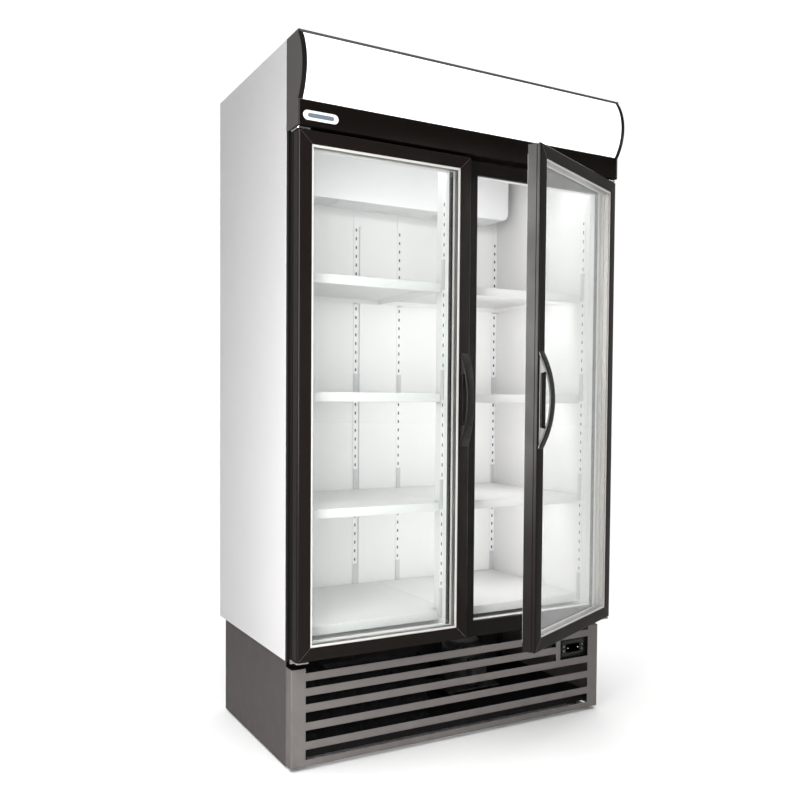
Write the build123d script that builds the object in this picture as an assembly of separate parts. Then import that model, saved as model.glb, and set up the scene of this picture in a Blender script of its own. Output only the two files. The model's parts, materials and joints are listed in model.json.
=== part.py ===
from build123d import *
import math
import os

os.makedirs("parts", exist_ok=True)

# Glass door merchandiser, two hinged doors, in millimetres.
# Working frame: X across the front (0 at the middle), Y from the front edge of the side panels
# towards the back, Z up from the floor.  save() moves every piece so that the origin of the
# finished part is the middle of the footprint, doors as they stand at rest.

# ---- overall ----
width = 1170.0
height = 2100.0
side_depth = 612.0
base_height = 321.0
header_height = 260.0
header_depth = 88.0
sheet = 1.5

# ---- insulated box ----
side_wall = 44.0
back_wall = 60.0
floor_wall = 36.0
roof_wall = 48.0
front_return = 18.0
liner_sheet = 1.0
rear_recess = 3.0
duct_half_width = 78.0
duct_depth = 6.0
duct_drop = 60.0

# ---- front frame and centre post ----
frame_depth = 33.0
frame_step = 14.0
frame_step_inset = 6.0
frame_top_cover = 44.0
frame_bottom_cover = 50.0
frame_side_gap = 1.0
throat_depth = 20.0
throat_sheet = 2.0
mullion_half = 50.0
post_half = 32.0
post_depth = 80.0

# ---- doors ----
door_thickness = 43.0
door_side_gap = 4.0
door_centre_gap = 22.0
door_bottom_gap = 15.0
door_top_gap = 10.0
door_face = 38.0
door_body = 30.0
door_lip = 4.0
door_wall = 4.0
pocket_floor = 8.0
groove_back = 10.0
groove_width = 4.0
groove_depth = 2.0
pane = 4.0
pane_gap = 16.0
pane_clearance = 1.0
trim_cover = 7.0
seal_thickness = 1.5
gasket_inset = 20.0
gasket_width = 14.0
gasket_clearance = 0.3
cover_sheet = 2.0
hinge_inset = 18.0
hinge_setback = 20.0
rest_angle = 25.5

# ---- hinges ----
pin_radius = 5.0
pin_play = 0.1
pin_reach = 12.0
hinge_plate = 4.0
hinge_half_width = 20.0
hinge_gap = 2.0
screw_radius = 4.5
screw_head = 2.5

# ---- handles ----
handle_length = 292.0
handle_reach = 40.0
handle_bow = 8.0
handle_end_width = 34.0
handle_mid_width = 26.0
handle_plate = 10.0
finger_half = 84.0

# ---- shelves and their uprights ----
shelf_rows = 4
slot_pitch = 32.0
first_shelf = 43.0
shelf_sheet = 1.5
shelf_lip = 28.0
shelf_side_lip = 18.0
shelf_front = 40.0
shelf_gap = 2.0
strip_width = 20.0
strip_sheet = 2.0
slot_width = 6.0
slot_height = 11.0
front_strip = 34.0
duct_strip_gap = 3.0
clip_width = 16.0
clip_thickness = 4.0
clip_height = 75.0
clip_tab = 14.0
clip_rib = 2.0
clip_ribs = 5
clip_sheet = 3.0

# ---- evaporator ----
evap_half_width = 505.0
evap_drop = 320.0
evap_depth = 126.0
evap_corner = 30.0
evap_sheet = 1.5
evap_fan_spread = 250.0
evap_fan_frame = 118.0
evap_fan_deep = 36.0
evap_fan_radius = 52.0
evap_coil_half = 430.0
evap_coil_size = (86.0, 150.0)
evap_tube = 5.0
evap_coil_lift = 20.0
evap_coil_tails = (18.0, 28.0)
evap_slot = 5.0
evap_slot_pitch = 9.0
strut_width = 6.0
strut_sheet = 3.0
fan_blades = 5
blade_angle = 32.0
blade_sheet = 2.0
fan_drop = 4.0

# ---- header sign ----
fascia_height = 71.0
trim_height = 8.0
lens_bulge = 30.0
lens_sheet = 3.0
end_cap = 5.0
badge_size = (108.0, 27.0)
badge_centre = (68.0, 29.0)
badge_sheet = 2.0
tube_radius = 13.0
tube_half = 540.0
tube_holder = 16.0
holder_rim = 3.0
tube_shares = (0.28, 0.72)
cabin_lamp = (24.0, 20.0)

# ---- base ----
base_side_inset = 7.0
base_front = 10.0
base_rear = 42.0
base_clear = 5.0
tray_height = 20.0
tray_lip = 30.0
tray_sheet = 2.0
grille_fold = 4.0
grille_clear = 11.0
grille_top_gap = 21.0
grille_stile = 45.0
grille_bar = 23.5
grille_slots = (21.0, 24.0, 30.0, 33.0, 30.0)
louvre_depth = 12.0
rear_slots = 6
rear_slot = 10.0
rear_slot_pitch = 22.0
rear_slot_drop = 25.0
rear_slot_margin = 60.0
window_width = 122.0
window_post = 19.0
window_rise = 2
window_overlap = 14.0
window_top_overlap = 4.0
foot_radius = 20.0
foot_height = 8.0
stem_radius = 6.0
foot_inset = 45.0
grille_notch = 14.0

# ---- cooling unit ----
condenser_size = (420.0, 60.0, 220.0)
condenser_shift = -300.0
condenser_setback = 14.0
condenser_lift = 10.0
condenser_flange = (2.0, 8.0)
condenser_tube = 4.5
condenser_tails = (14.0, 18.0, 22.0)
condenser_lines = 4
fan_radius = 98.0
fan_clear = 6.0
fan_hub = 28.0
shroud_size = 230.0
shroud_depth = 40.0
shroud_foot = 20.0
motor_bar = (6.0, 12.0)
motor_length = 60.0
motor_rim = 8.0
wheel_depth = 24.0
wheel_shift = 6.0
compressor_radius = 80.0
compressor_height = 160.0
compressor_place = (250.0, 330.0)
compressor_plate = (110.0, 80.0, 6.0)
compressor_round = 28.0
terminal_half = 30.0
terminal_z = (40.0, 110.0)
mount_radius = 12.0
mount_height = 14.0
mount_spread = (95.0, 65.0)
pan_size = (300.0, 180.0, 28.0)
pan_place = (-250.0, 450.0)
pan_sheet = 2.0

# ---- controller ----
panel_size = (96.0, 50.0)
panel_recess = 12.0
panel_body = 60.0
panel_bezel = 4.0
panel_wall = 6.0
button_seat = 8.0
button_radius = 3.5
button_proud = 2.0
button_travel = 1.2
button_play = 0.3
button_spots = ((-40.0, 8.0), (-40.0, -8.0), (40.0, 8.0), (40.0, -8.0))

# ---- power inlet ----
inlet_inset = 120.0
inlet_rise = 12.0
inlet_flange = (25.0, 14.0)
inlet_socket = (14.0, 9.0)
inlet_depth = 10.0
inlet_floor = 2.0
inlet_pin = (1.0, 4.0, 8.0)
inlet_pin_pitch = 7.0

# ---- worked out ----
half = width / 2
header_bottom = height - header_height
front_plane = -header_depth
door_back = front_plane + door_thickness
door_low = base_height + door_bottom_gap
door_high = header_bottom - door_top_gap
door_outer = half - door_side_gap
door_inner = door_centre_gap / 2
door_middle = (door_low + door_high) / 2
hinge_x = door_outer - hinge_inset
hinge_y = front_plane + hinge_setback
inner_half = half - side_wall
inner_back = side_depth - back_wall
inner_floor = base_height + floor_wall
inner_roof = height - roof_wall
opening_low = base_height + frame_bottom_cover
opening_high = header_bottom - frame_top_cover
rear_inner = side_depth - rear_recess - sheet
evap_low = height - evap_drop
evap_front = inner_back - evap_depth
base_half = half - base_side_inset
base_back = side_depth - base_rear
grille_high = base_height - grille_top_gap
grille_front = -frame_depth
shelf_top = inner_floor + first_shelf
shelf_step = slot_pitch * round((evap_low - shelf_top) / shelf_rows / slot_pitch)
shelf_back = inner_back - strip_sheet - clip_thickness - shelf_gap
duct_strip = duct_half_width + duct_strip_gap + strip_width / 2
wall_strip = inner_half - strip_width / 2
shelf_tops = [shelf_top + row * shelf_step for row in range(shelf_rows)]

# The ajar right-hand door reaches furthest forward: its handle's outer corner sets the front.
handle_x = door_inner + door_face / 2
swing = math.radians(rest_angle)
handle_corner = hinge_x - handle_x - handle_mid_width / 2
handle_front = hinge_setback + handle_reach
reach_front = hinge_y - handle_corner * math.sin(swing) - handle_front * math.cos(swing)
origin_y = (reach_front + side_depth) / 2


def block(x, y, z):
    """A box between two limits on each axis."""
    middle = ((x[0] + x[1]) / 2, (y[0] + y[1]) / 2, (z[0] + z[1]) / 2)
    return Pos(*middle) * Box(x[1] - x[0], y[1] - y[0], z[1] - z[0])


def front_prism(points, y):
    """A polygon in X and Z, pulled from y[0] to y[1]."""
    plane = Plane(origin=(0, y[1], 0), x_dir=(1, 0, 0), z_dir=(0, -1, 0))
    return extrude(plane * Polygon(*points, align=None), amount=y[1] - y[0], dir=(0, -1, 0))


def ring(x, z, y, inset, thick):
    """Four mitred bars round the rectangle x, z, each its own solid: left, right, low, high."""
    ox = (x[0] + inset, x[1] - inset)
    oz = (z[0] + inset, z[1] - inset)
    ix = (ox[0] + thick, ox[1] - thick)
    iz = (oz[0] + thick, oz[1] - thick)
    left = [(ox[0], oz[0]), (ix[0], iz[0]), (ix[0], iz[1]), (ox[0], oz[1])]
    right = [(ox[1], oz[0]), (ox[1], oz[1]), (ix[1], iz[1]), (ix[1], iz[0])]
    low = [(ox[0], oz[0]), (ox[1], oz[0]), (ix[1], iz[0]), (ix[0], iz[0])]
    high = [(ox[0], oz[1]), (ix[0], iz[1]), (ix[1], iz[1]), (ox[1], oz[1])]
    return [front_prism(side, y) for side in (left, right, low, high)]


def upright(radius, z, x, y):
    """A vertical cylinder."""
    return Pos(x, y, (z[0] + z[1]) / 2) * Cylinder(radius, z[1] - z[0])


def along_y(radius, y, x, z):
    """A cylinder along Y."""
    return Pos(x, (y[0] + y[1]) / 2, z) * Rot(90, 0, 0) * Cylinder(radius, y[1] - y[0])


def along_x(radius, x, y, z):
    """A cylinder along X."""
    return Pos((x[0] + x[1]) / 2, y, z) * Rot(0, 90, 0) * Cylinder(radius, x[1] - x[0])


def both_sides(shapes):
    """The shapes and their mirror images across the middle of the cabinet."""
    return list(shapes) + [mirror(shape, about=Plane.YZ) for shape in shapes]


def save(node, shapes):
    """Move the solids into the part's frame and write them as one node."""
    solids = [solid for shape in shapes for solid in shape.solids()]
    placed = [Pos(0, -origin_y, 0) * solid for solid in solids]
    export_step(Compound(children=placed), f"parts/{node}.step")


# ---- cabinet skins ----
def side_panel():
    plate = block((-half, -half + sheet), (0, rear_inner), (base_height, height))
    front = block((-half, -half + front_return), (0, sheet), (base_height, height))
    tail = block((-half, -half + sheet), (rear_inner, side_depth), (base_height, height))
    return plate + front + tail


def insulation():
    outer_z = (base_height + sheet, height - sheet)
    outer = block((-half + sheet, half - sheet), (sheet, rear_inner), outer_z)
    reach = inner_half + liner_sheet
    room_z = (inner_floor - liner_sheet, inner_roof + liner_sheet)
    return outer - block((-reach, reach), (0, inner_back + liner_sheet), room_z)


def liner_panels():
    outer = inner_half + liner_sheet
    z = (inner_floor, inner_roof)
    y = (sheet, inner_back + liner_sheet)
    left = block((-outer, -inner_half), (sheet, inner_back), z)
    right = mirror(left, about=Plane.YZ)
    back = block((-outer, outer), (inner_back, inner_back + liner_sheet), z)
    floor = block((-outer, outer), y, (inner_floor - liner_sheet, inner_floor))
    roof = block((-outer, outer), y, (inner_roof, inner_roof + liner_sheet))
    duct_y = (inner_back - duct_depth, inner_back)
    duct = block((-duct_half_width, duct_half_width), duct_y, (inner_floor, evap_low - duct_drop))
    return [left, right, back, floor, roof, duct]


def throat_box(grow):
    """The left bay's way through the front frame, as a box; grow widens it on all four sides."""
    x = (-inner_half - grow, -mullion_half + grow)
    return block(x, (-throat_depth, 0), (opening_low - grow, opening_high + grow))


def breaker_strips():
    """White strips that line the way through the front frame, from its black face to the liner."""
    y = (-throat_depth, 0)
    tall = (opening_low - throat_sheet, opening_high + throat_sheet)
    wide = (-inner_half, -mullion_half)
    strips = [
        block((-inner_half - throat_sheet, -inner_half), y, tall),
        block((-mullion_half, -mullion_half + throat_sheet), y, tall),
        block(wide, y, (opening_low - throat_sheet, opening_low)),
        block(wide, y, (opening_high, opening_high + throat_sheet)),
    ]
    return both_sides(strips)


save("side_panel_left", [side_panel()])
save("side_panel_right", [mirror(side_panel(), about=Plane.YZ)])
save("top_panel", [block((-half + sheet, half - sheet), (sheet, rear_inner), (height - sheet, height))])
rear_plate_y = (rear_inner, rear_inner + sheet)
save("rear_panel", [block((-half + sheet, half - sheet), rear_plate_y, (base_height, height))])
bottom_z = (base_height, base_height + sheet)
save("bottom_panel", [block((-half + sheet, half - sheet), (sheet, rear_inner), bottom_z)])
save("wall_insulation", [insulation()])
save("inner_liner", liner_panels() + breaker_strips())


# ---- front frame: two stiles, two rails and the centre bar ----
def frame_bars():
    outer = half - frame_side_gap
    front = (-frame_depth, -frame_step)
    back = (-frame_step, 0)
    tall = (base_height, header_bottom)
    stile = block((-outer, -inner_half), back, tall)
    stile += block((-outer + frame_step_inset, -inner_half), front, tall)
    low = block((-inner_half, inner_half), (-frame_depth, 0), (base_height, opening_low))
    high = block((-inner_half, inner_half), (-frame_depth, 0), (opening_high, header_bottom))
    centre = block((-mullion_half, mullion_half), (-frame_depth, 0), (opening_low, opening_high))
    throats = both_sides([throat_box(throat_sheet)])
    return [bar - throats for bar in both_sides([stile]) + [low, high, centre]]


save("front_frame", frame_bars())
post_z = (inner_floor, inner_roof)
post = block((-post_half, post_half), (0, post_depth), post_z)
post -= block((-post_half + sheet, post_half - sheet), (sheet, post_depth - sheet), post_z)
save("mullion_post", [post])


# ---- slotted uprights: strip faces +Y of its own frame towards the wall ----
def strip_slots():
    low = inner_floor + first_shelf / 2
    count = int((evap_low - low - slot_pitch) / slot_pitch)
    return [low + slot_pitch * (index + 0.5) for index in range(count)]


def rear_strip(x):
    y = (inner_back - strip_sheet, inner_back)
    slot_x = (x - slot_width / 2, x + slot_width / 2)
    cuts = [block(slot_x, y, (z - slot_height / 2, z + slot_height / 2)) for z in strip_slots()]
    return block((x - strip_width / 2, x + strip_width / 2), y, (inner_floor, evap_low)) - cuts


def side_strip(face, towards):
    """A strip lying on a face of constant X, standing out from it by its own thickness."""
    x = sorted((face, face + towards * strip_sheet))
    y = (front_strip - strip_width / 2, front_strip + strip_width / 2)
    slot_y = (front_strip - slot_width / 2, front_strip + slot_width / 2)
    cuts = [block(x, slot_y, (z - slot_height / 2, z + slot_height / 2)) for z in strip_slots()]
    return block(x, y, (inner_floor, evap_low)) - cuts


uprights = [rear_strip(-duct_strip), rear_strip(-wall_strip)]
uprights += [side_strip(-inner_half, 1), side_strip(-post_half, -1)]
save("shelf_uprights", both_sides(uprights))

# ---- shelves: folded pans, notched round the centre post ----
shelf_outer = inner_half - strip_sheet - clip_thickness - shelf_gap
shelf_notch = post_half + strip_sheet + clip_thickness + shelf_gap
shelf_seam = shelf_gap / 2
notch_back = post_depth + shelf_gap


def shelf(top):
    outline = [
        (-shelf_outer, shelf_front),
        (-shelf_notch, shelf_front),
        (-shelf_notch, notch_back),
        (-shelf_seam, notch_back),
        (-shelf_seam, shelf_back),
        (-shelf_outer, shelf_back),
    ]
    plate = extrude(Pos(0, 0, top - shelf_sheet) * Polygon(*outline, align=None), amount=shelf_sheet)
    side_z = (top - shelf_side_lip, top)
    front_y = (shelf_front, shelf_front + shelf_sheet)
    folds = [
        block((-shelf_outer, -shelf_notch), front_y, (top - shelf_lip, top)),
        block((-shelf_outer, -shelf_seam), (shelf_back - shelf_sheet, shelf_back), side_z),
        block((-shelf_outer, -shelf_outer + shelf_sheet), (shelf_front, shelf_back), side_z),
        block((-shelf_seam - shelf_sheet, -shelf_seam), (notch_back, shelf_back), side_z),
        block((-shelf_notch - shelf_sheet, -shelf_notch), (shelf_front, notch_back), side_z),
    ]
    return plate + folds


for row, top in enumerate(shelf_tops, start=1):
    save(f"shelf_left_{row}", [shelf(top)])
    save(f"shelf_right_{row}", [mirror(shelf(top), about=Plane.YZ)])


# ---- shelf clips: a ribbed plate on the upright and a tab under the shelf ----
def clip_z(top):
    low = top - shelf_side_lip - clip_sheet
    return low, low + clip_sheet, top + clip_height


def rear_clip(x, top):
    low, tab_top, high = clip_z(top)
    face = inner_back - strip_sheet
    spread = (x - clip_width / 2, x + clip_width / 2)
    body = block(spread, (face - clip_thickness, face), (low, high))
    body += block(spread, (face - clip_thickness - clip_tab, face), (low, tab_top))
    pitch = clip_height / (clip_ribs + 1)
    for index in range(clip_ribs):
        z = top + pitch * (index + 1)
        cut = (face - clip_thickness, face - clip_thickness + clip_rib)
        body -= block(spread, cut, (z - clip_rib, z + clip_rib))
    return body


def side_clip(face, towards, top):
    low, tab_top, high = clip_z(top)
    spread = (front_strip - clip_width / 2, front_strip + clip_width / 2)
    near = face + towards * clip_thickness
    body = block(sorted((face, near)), spread, (low, high))
    tab_start = shelf_front + shelf_sheet + shelf_seam
    tab_y = (tab_start, tab_start + clip_width)
    body += block(sorted((face, near)), (spread[0], tab_y[1]), (low, tab_top + clip_sheet))
    body += block(sorted((face, near + towards * clip_tab)), tab_y, (low, tab_top))
    pitch = clip_height / (clip_ribs + 1)
    for index in range(clip_ribs):
        z = top + pitch * (index + 1)
        cut = sorted((near - towards * clip_rib, near))
        body -= block(cut, spread, (z - clip_rib, z + clip_rib))
    return body


clips = []
for top in shelf_tops:
    clips.append(rear_clip(-duct_strip, top))
    clips.append(rear_clip(-wall_strip + (strip_width - clip_width) / 2, top))
    clips.append(side_clip(-inner_half + strip_sheet, 1, top))
    clips.append(side_clip(-post_half - strip_sheet, -1, top))
save("shelf_clips", both_sides(clips))

# ---- evaporator ----
evap_z = (evap_low, inner_roof)
evap_y = (evap_front, inner_back)
evap_middle_y = evap_front + evap_sheet + (evap_depth - evap_sheet) / 2
evap_fans = (-evap_fan_spread, evap_fan_spread)


def rounded_tray(reach, low, radius, y):
    """A slab along Y whose two lower corners are rounded, open to the roof."""
    points = [(-reach, inner_roof), (reach, inner_roof), (reach, low), (-reach, low)]
    body = front_prism(points, y)
    corners = [edge for edge in body.edges().filter_by(Axis.Y) if edge.center().Z < low + 1]
    return fillet(corners, radius)


def fan_slots(x):
    """Narrow slots through the cover's floor, filling the circle below one fan."""
    rows = int(evap_fan_radius / evap_slot_pitch)
    slots = []
    for row in range(-rows, rows + 1):
        y = row * evap_slot_pitch
        reach = math.sqrt(evap_fan_radius**2 - y**2) - evap_slot / 2
        middle = evap_middle_y + y
        slot_y = (middle - evap_slot / 2, middle + evap_slot / 2)
        slots.append(block((x - reach, x + reach), slot_y, (evap_low, evap_low + evap_sheet)))
    return slots


def evaporator_cover():
    outer = rounded_tray(evap_half_width, evap_low, evap_corner, evap_y)
    inner = rounded_tray(
        evap_half_width - evap_sheet,
        evap_low + evap_sheet,
        evap_corner - evap_sheet,
        (evap_front + evap_sheet, inner_back),
    )
    shell = outer - inner
    for x in evap_fans:
        shell -= fan_slots(x)
    return shell


def impeller(radius, hub, depth, blades):
    """A hub with pitched blades, turning about Z through the origin."""
    wheel = Cylinder(hub, depth)
    reach = radius - hub / 2
    for index in range(blades):
        blade = Rot(blade_angle, 0, 0) * Box(reach, hub * 1.5, blade_sheet)
        blade = Pos(hub / 2 + reach / 2, 0, 0) * blade
        wheel += Rot(0, 0, index * 360 / blades) * blade
    return wheel & Cylinder(radius, depth)


evap_fan_z = evap_low + evap_sheet + evap_fan_deep / 2


def evaporator_motor(x):
    """A square fan frame with four struts that hold the motor above the impeller."""
    frame = Box(evap_fan_frame, evap_fan_frame, evap_fan_deep)
    frame -= Cylinder(evap_fan_radius + evap_sheet, evap_fan_deep)
    strut_z = evap_fan_deep / 2 - strut_sheet / 2
    struts = Box(evap_fan_frame, strut_width, strut_sheet) + Box(strut_width, evap_fan_frame, strut_sheet)
    frame += Pos(0, 0, strut_z) * (struts & Cylinder(evap_fan_frame / 2, strut_sheet))
    frame += Pos(0, 0, strut_z - strut_sheet / 2) * Cylinder(evap_fan_radius / 3, 2 * strut_sheet)
    return Pos(x, evap_middle_y, evap_fan_z) * frame


save("evaporator_cover", [evaporator_cover()])
save("evaporator_fan_motors", [evaporator_motor(x) for x in evap_fans])
for side, x in zip(("left", "right"), evap_fans):
    rotor = impeller(evap_fan_radius - 1, evap_fan_radius / 3, evap_fan_deep / 2, fan_blades)
    save(f"evaporator_fan_{side}", [Pos(x, evap_middle_y, evap_fan_z - fan_drop) * rotor])


def evaporator_coil():
    """A finned block with two rows of three tubes, joined in pairs at both ends."""
    depth, tall = evap_coil_size
    low = evap_low + evap_sheet + evap_fan_deep + evap_coil_lift
    y = (evap_middle_y - depth / 2, evap_middle_y + depth / 2)
    core = block((-evap_coil_half, evap_coil_half), y, (low, low + tall))
    near, far = (evap_coil_half + tail for tail in evap_coil_tails)
    bend_y = (y[0] + depth / 4 - evap_tube, y[1] - depth / 4 + evap_tube)
    for line in range(3):
        z = low + tall * (line + 0.5) / 3
        for tube_y in (y[0] + depth / 4, y[1] - depth / 4):
            core += along_x(evap_tube, (-far, far), tube_y, z)
        for end in (-1, 1):
            core += block(sorted((end * near, end * far)), bend_y, (z - evap_tube, z + evap_tube))
    return core


save("evaporator_coil", [evaporator_coil()])

# ---- header sign ----
header_back = -1.0
lens_low = header_bottom + fascia_height
lens_high = height - trim_height
lens_chord = lens_high - lens_low
lens_radius = (lens_chord**2 / 4 + lens_bulge**2) / (2 * lens_bulge)
lens_middle = (lens_low + lens_high) / 2
lens_centre_y = front_plane - lens_bulge + lens_radius
cap_x = half - end_cap


def bulge(shrink, x):
    """The part of a cylinder along X that stands out in front of the header's front plane."""
    drum = along_x(lens_radius - shrink, x, lens_centre_y, lens_middle)
    return drum & block(x, (front_plane - lens_bulge - 1, front_plane), (lens_low, lens_high))


def header_housing():
    x = (-cap_x, cap_x)
    back = block(x, (header_back - sheet, header_back), (header_bottom, height))
    top = block(x, (front_plane, header_back), (height - sheet, height))
    brow = block(x, (front_plane, front_plane + sheet), (lens_high, height))
    shelf_plate = block(x, (front_plane + lens_sheet, header_back), (lens_low - sheet, lens_low))
    return back + top + brow + shelf_plate


def header_fascia():
    x = (-cap_x, cap_x)
    face = block(x, (front_plane, front_plane + sheet), (header_bottom, lens_low - sheet))
    return face + block(x, (front_plane, header_back - sheet), (header_bottom, header_bottom + sheet))


def header_end_cap():
    x = (-half, -cap_x)
    flat = block(x, (front_plane, header_back), (header_bottom, height))
    return flat + bulge(0, x)


def lamp(z, y):
    """A light tube in two end holders."""
    tube = along_x(tube_radius, (-tube_half, tube_half), y, z)
    rim = tube_radius + holder_rim
    for end in (-1, 1):
        x = sorted((end * tube_half, end * (tube_half + tube_holder)))
        tube += block(x, (y - rim, header_back - sheet), (z - rim, z + rim))
    return tube


lens_x = (-cap_x, cap_x)
lens = bulge(0, lens_x) - bulge(lens_sheet, lens_x)
save("header_housing", [header_housing()])
save("header_fascia", [header_fascia()])
save("header_end_caps", both_sides([header_end_cap()]))
save("header_lens", [lens])
lamp_y = header_depth / -2
header_lamps = [lamp(lens_low + lens_chord * share, lamp_y) for share in tube_shares]
badge_at = (-half + badge_centre[0], front_plane, header_bottom + badge_centre[1])
badge_plane = Plane(origin=badge_at, x_dir=(1, 0, 0), z_dir=(0, -1, 0))
badge_shape = badge_plane * SlotOverall(badge_size[0], badge_size[1])
save("badge", [extrude(badge_shape, amount=badge_sheet, dir=(0, -1, 0))])

# ---- light under the front rail, inside ----
cabin_light_z = opening_high + frame_top_cover / 2
light_x = (post_half + sheet, inner_half)
light_y = (sheet, sheet + cabin_lamp[0])
light_z = (cabin_light_z - cabin_lamp[1] / 2, cabin_light_z + cabin_lamp[1] / 2)
cabin_lamps = both_sides([block((-light_x[1], -light_x[0]), light_y, light_z)])
save("light_tubes", header_lamps + cabin_lamps)

# ---- base ----
tray_z = (tray_height, tray_height + tray_sheet)
base_y = (base_front, base_back)


def base_side():
    x = (-base_half, -base_half + sheet)
    return block(x, base_y, (base_clear, base_height))


def rear_louvres():
    """A rear plate with a field of long slots."""
    x = (-base_half + sheet, base_half - sheet)
    y = (base_back - sheet, base_back)
    slot_x = (x[0] + rear_slot_margin, x[1] - rear_slot_margin)
    tops = [base_height - rear_slot_drop - index * rear_slot_pitch for index in range(rear_slots)]
    return block(x, y, (tray_height, base_height)) - [block(slot_x, y, (z - rear_slot, z)) for z in tops]


def base_tray():
    x = (-base_half + sheet, base_half - sheet)
    y = (base_front + sheet, base_back - sheet)
    floor = block(x, y, tray_z)
    lip_z = (tray_height, tray_height + tray_lip)
    front = block(x, (y[0], y[0] + tray_sheet), lip_z)
    left = block((x[0], x[0] + tray_sheet), y, lip_z)
    return floor + front + left + mirror(left, about=Plane.YZ)


save("base_panels", both_sides([base_side()]) + [rear_louvres()])
save("base_tray", [base_tray()])


def feet():
    x, y = (-base_half + foot_inset, base_front + foot_inset)
    front = upright(foot_radius, (0, foot_height), x, y)
    front += upright(stem_radius, (foot_height, tray_height), x, y)
    rear = Pos(0, base_back - base_front - 2 * foot_inset, 0) * front
    return both_sides([front, rear])


save("levelling_feet", feet())

# ---- front grille: folded panel, louvre bars and the window for the controller ----
grille_x = (-base_half, base_half)
slot_x = (-base_half + grille_stile, base_half - grille_stile)
window_x = (slot_x[1] - window_width, slot_x[1])
short_x = (slot_x[0], window_x[0] - window_post)


def grille_slots_z():
    """Each slot's low and high edge, from the top slot down."""
    spans = []
    high = grille_high - grille_notch - grille_bar
    for slot in grille_slots:
        spans.append((high - slot, high))
        high -= slot + grille_bar
    return spans


slot_spans = grille_slots_z()


def front_grille():
    y = (grille_front, grille_front + sheet)
    tall = (grille_clear, grille_high)
    folded = block(grille_x, (grille_front, base_front), tall)
    corners = [edge for edge in folded.edges().filter_by(Axis.Z) if edge.center().Y < 0]
    inner = block((-base_half + sheet, base_half - sheet), (grille_front + sheet, base_front), tall)
    inner_corners = [edge for edge in inner.edges().filter_by(Axis.Z) if edge.center().Y < 0]
    panel = fillet(corners, grille_fold) - fillet(inner_corners, grille_fold - sheet)
    panel -= block(slot_x, y, (grille_high - grille_notch, grille_high))
    for index, span in enumerate(slot_spans):
        reach = short_x if index < window_rise else slot_x
        panel -= block(reach, y, span)
    window_z = (slot_spans[window_rise - 1][0], slot_spans[0][1])
    panel -= block(window_x, y, window_z)
    louvre_y = (grille_front + sheet, grille_front + sheet + louvre_depth)
    for index, span in enumerate(slot_spans):
        reach = short_x if index < window_rise else slot_x
        panel += block(reach, louvre_y, (span[1], span[1] + sheet))
    return panel


save("front_grille", [front_grille()])

# ---- controller with four push buttons ----
panel_x = (window_x[0] + window_x[1]) / 2
panel_z = (slot_spans[window_rise - 1][0] + slot_spans[0][1]) / 2
panel_front = grille_front + panel_recess
panel_half = (panel_size[0] / 2, panel_size[1] / 2)


def control_panel():
    plate_z = (slot_spans[window_rise - 1][0] - window_overlap, slot_spans[0][1] + window_top_overlap)
    plate_x = (window_x[0] - window_overlap, window_x[1] + window_overlap)
    plate = block(plate_x, (panel_front, panel_front + sheet), plate_z)
    x = (panel_x - panel_half[0], panel_x + panel_half[0])
    z = (panel_z - panel_half[1], panel_z + panel_half[1])
    bezel = block(x, (panel_front - panel_bezel, panel_front), z)
    body_x = (x[0] + panel_wall, x[1] - panel_wall)
    body_z = (z[0] + panel_wall, z[1] - panel_wall)
    body = block(body_x, (panel_front + sheet, panel_front + panel_body), body_z)
    unit = plate + bezel + body
    hole = (panel_front - panel_bezel, panel_front + button_seat)
    for dx, dz in button_spots:
        unit -= along_y(button_radius + button_play, hole, panel_x + dx, panel_z + dz)
    return unit


save("control_panel", [control_panel()])
for index, (dx, dz) in enumerate(button_spots, start=1):
    y = (panel_front - panel_bezel - button_proud, panel_front + button_seat - button_travel - button_play)
    save(f"control_button_{index}", [along_y(button_radius, y, panel_x + dx, panel_z + dz)])

# ---- cooling unit in the base ----
deck = tray_height + tray_sheet
condenser_y = base_front + tray_sheet + condenser_setback
condenser_low = deck + condenser_lift
unit_x = condenser_shift


def condenser_coil():
    """A finned block between two end plates, with tube bends standing out of both plates."""
    wide, deep, tall = condenser_size
    low = condenser_low
    y = (condenser_y, condenser_y + deep)
    core = block((unit_x - wide / 2, unit_x + wide / 2), y, (low, low + tall))
    tube_ys = (y[0] + deep / 3, y[1] - deep / 3)
    bend_y = (tube_ys[0] - condenser_tube, tube_ys[1] + condenser_tube)
    for end in (-1, 1):
        edge = unit_x + end * wide / 2
        plate_x = sorted((edge, edge + end * condenser_flange[0]))
        core += block(plate_x, y, (deck, low + tall + condenser_flange[1]))
        tube_x = sorted((edge, edge + end * condenser_tails[1]))
        bend_x = sorted((edge + end * condenser_tails[0], edge + end * condenser_tails[2]))
        for line in range(condenser_lines):
            z = low + tall * (line + 0.5) / condenser_lines
            for tube_y in tube_ys:
                core += along_x(condenser_tube, tube_x, tube_y, z)
            core += block(bend_x, bend_y, (z - condenser_tube, z + condenser_tube))
    return core


fan_y = condenser_y + condenser_size[1] + shroud_depth / 2
fan_z = condenser_low + condenser_size[2] / 2


def condenser_housing():
    """A ring shroud behind the coil with a bar that carries the motor."""
    y = (fan_y - shroud_depth / 2, fan_y + shroud_depth / 2)
    x = (unit_x - shroud_size / 2, unit_x + shroud_size / 2)
    z = (fan_z - condenser_size[2] / 2, fan_z + condenser_size[2] / 2)
    frame = block(x, y, z) - along_y(fan_radius + fan_clear, y, unit_x, fan_z)
    bar = block(x, (y[1], y[1] + motor_bar[0]), (fan_z - motor_bar[1], fan_z + motor_bar[1]))
    motor = along_y(fan_hub + motor_rim, (y[1], y[1] + motor_length), unit_x, fan_z)
    frame += bar + motor
    for end in (-1, 1):
        foot = sorted((unit_x + end * (shroud_size / 2 - shroud_foot), unit_x + end * shroud_size / 2))
        frame += block(foot, y, (deck, z[0]))
    return frame


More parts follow.
